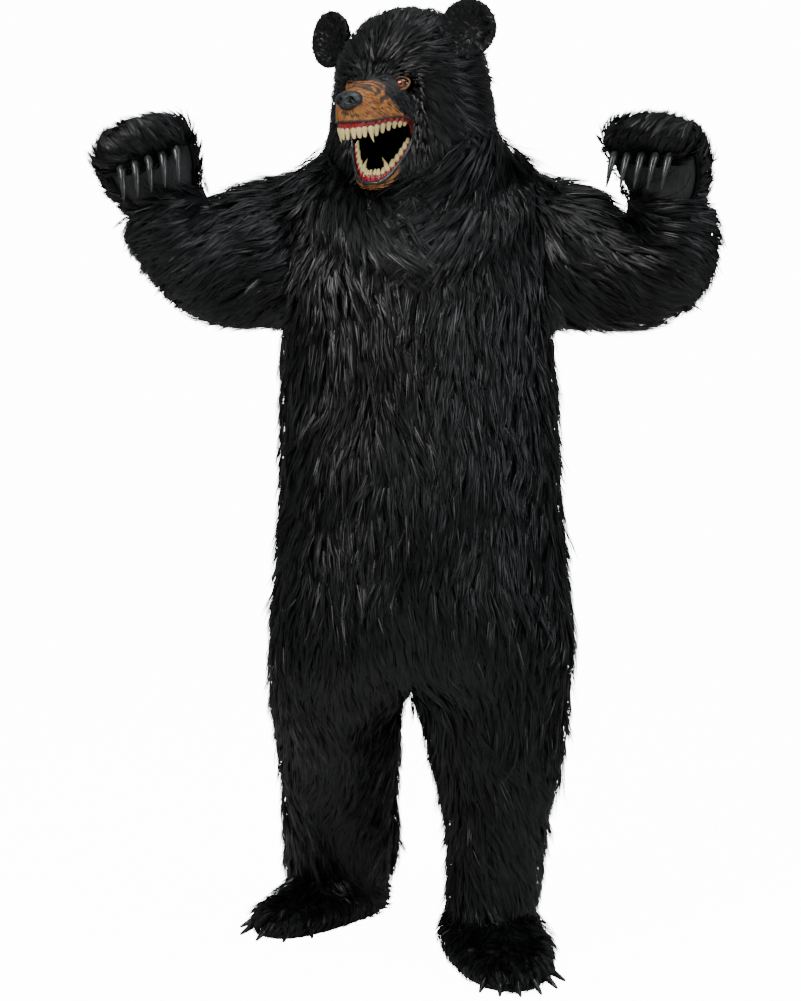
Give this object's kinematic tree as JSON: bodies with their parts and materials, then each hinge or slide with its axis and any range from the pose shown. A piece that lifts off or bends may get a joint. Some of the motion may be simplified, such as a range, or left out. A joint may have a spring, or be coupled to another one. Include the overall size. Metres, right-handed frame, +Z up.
{
  "type": "bear mascot costume",
  "caption": "Black furry full-body bear costume with roaring mask, mitts and boots, hollow in its worn pose with raised paws.",
  "frame": {"origin": "between the wearer's shoulders, 1.50 m above the floor, inside the top of the suit", "axes": "+X to the wearer's left, -Y ahead of the wearer, +Z up"},
  "size_m": [1.2022, 0.7722, 1.909],
  "materials": {
    "black_fur": "long-pile black faux fur on backing cloth",
    "palm_cloth": "smooth black cloth with stitched arcs",
    "sole_rubber": "matt black sheet",
    "claw_plastic": "glossy dark grey",
    "tan_latex": "orange-tan painted latex with dark brushed strokes",
    "nose_latex": "glossy charcoal latex",
    "gum_latex": "glossy red latex",
    "tooth_plastic": "cream-yellow resin",
    "eye_plastic": "clear glossy eye with an orange-brown iris",
    "zip_tape": "black coil zip tape"
  },
  "bodies": {
    "root": {"back_zip": "zip_tape", "bib_back": "black_fur", "bib_front": "black_fur", "boot_left_claw_1": "claw_plastic", "boot_left_claw_2": "claw_plastic", "boot_left_claw_3": "claw_plastic", "boot_left_claw_4": "claw_plastic", "boot_left_claw_5": "claw_plastic", "boot_left_claw_6": "claw_plastic", "boot_left_sole": "sole_rubber", "boot_left_upper": "black_fur", "boot_right_claw_1": "claw_plastic", "boot_right_claw_2": "claw_plastic", "boot_right_claw_3": "claw_plastic", "boot_right_claw_4": "claw_plastic", "boot_right_claw_5": "claw_plastic", "boot_right_sole": "sole_rubber", "boot_right_upper": "black_fur", "ear_left": "black_fur", "ear_right": "black_fur", "eye_left": "eye_plastic", "eye_right": "eye_plastic", "hood_left": "black_fur", "hood_right": "black_fur", "lower_gum": "gum_latex", "lower_jaw": "tan_latex", "lower_teeth": "tooth_plastic", "mitt_left_back": "black_fur", "mitt_left_claw_1": "claw_plastic", "mitt_left_claw_2": "claw_plastic", "mitt_left_claw_3": "claw_plastic", "mitt_left_claw_4": "claw_plastic", "mitt_left_claw_5": "claw_plastic", "mitt_left_palm": "palm_cloth", "mitt_right_back": "black_fur", "mitt_right_claw_1": "claw_plastic", "mitt_right_claw_2": "claw_plastic", "mitt_right_claw_3": "claw_plastic", "mitt_right_claw_4": "claw_plastic", "mitt_right_claw_5": "claw_plastic", "mitt_right_palm": "palm_cloth", "nose": "nose_latex", "sleeve_left": "black_fur", "sleeve_right": "black_fur", "suit_back_left": "black_fur", "suit_back_right": "black_fur", "suit_front_left": "black_fur", "suit_front_right": "black_fur", "suit_leg_back_left": "black_fur", "suit_leg_back_right": "black_fur", "suit_leg_front_left": "black_fur", "suit_leg_front_right": "black_fur", "upper_face": "tan_latex", "upper_gum": "gum_latex", "upper_teeth": "tooth_plastic"}
  },
  "joints": []
}
